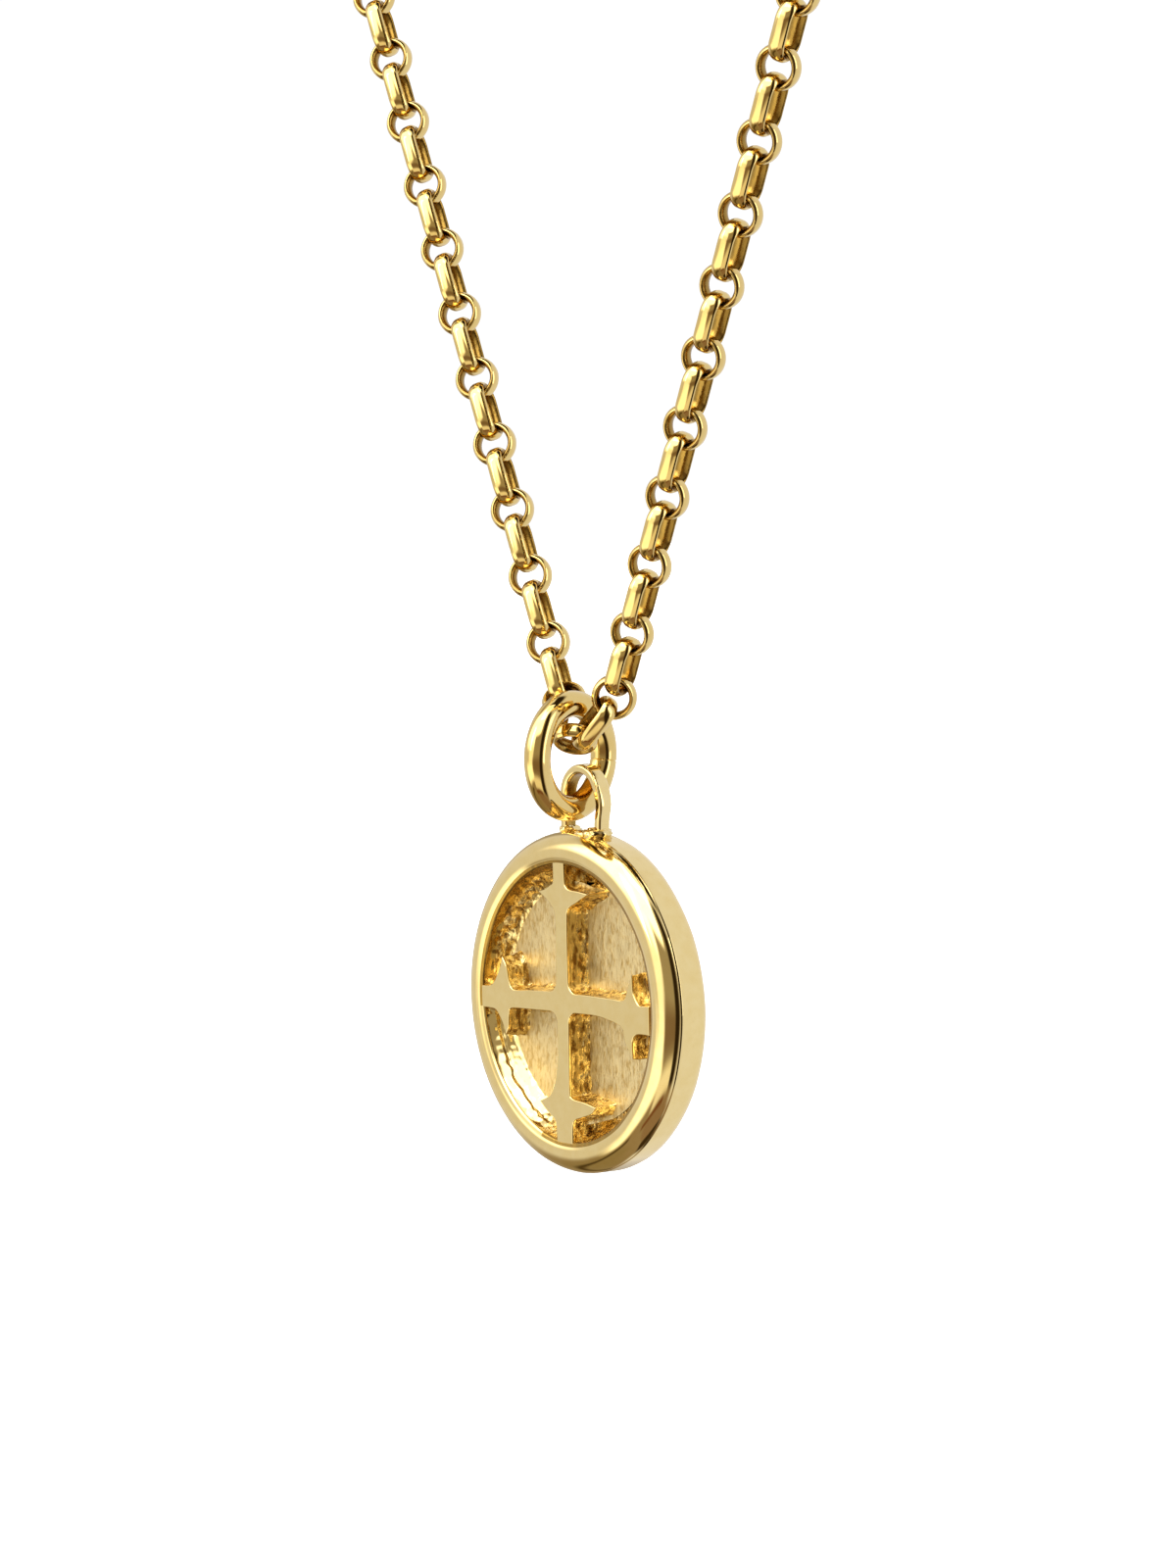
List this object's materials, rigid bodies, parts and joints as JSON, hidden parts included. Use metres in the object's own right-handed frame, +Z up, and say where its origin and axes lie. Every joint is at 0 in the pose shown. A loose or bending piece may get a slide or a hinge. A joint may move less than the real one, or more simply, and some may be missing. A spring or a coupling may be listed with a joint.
{
  "type": "religious pendant",
  "caption": "Round gold-coloured cross medallion on a jump ring, hung on a belcher chain necklace with a plain ring clasp.",
  "frame": {"origin": "underside of the clasp at the top of the loop, where the necklace rests on the back of a neck or on a hook", "axes": "+Z up, -Y the side that the medallion faces, +X to the wearer's left and the viewer's right"},
  "size_m": [0.1012, 0.0067, 0.1954],
  "materials": {
    "gold": "polished"
  },
  "bodies": {
    "necklace": {"chain_left": "gold", "chain_right": "gold", "clasp": "gold"},
    "ring": {"jump_ring": "gold"},
    "pendant": {"medallion": "gold"}
  },
  "joints": [
    {"name": "jump_ring_swing", "type": "hinge", "parent": "necklace", "child": "ring", "pos_m": [0.00248, -0.00096, -0.16571], "axis": [0.9703, 0.2419, 0], "range_deg": [-12, 12]},
    {"name": "medallion_swing", "type": "hinge", "parent": "ring", "child": "pendant", "pos_m": [0.00224, 0, -0.16979], "axis": [0, 1, 0], "range_deg": [-25, 25]}
  ]
}
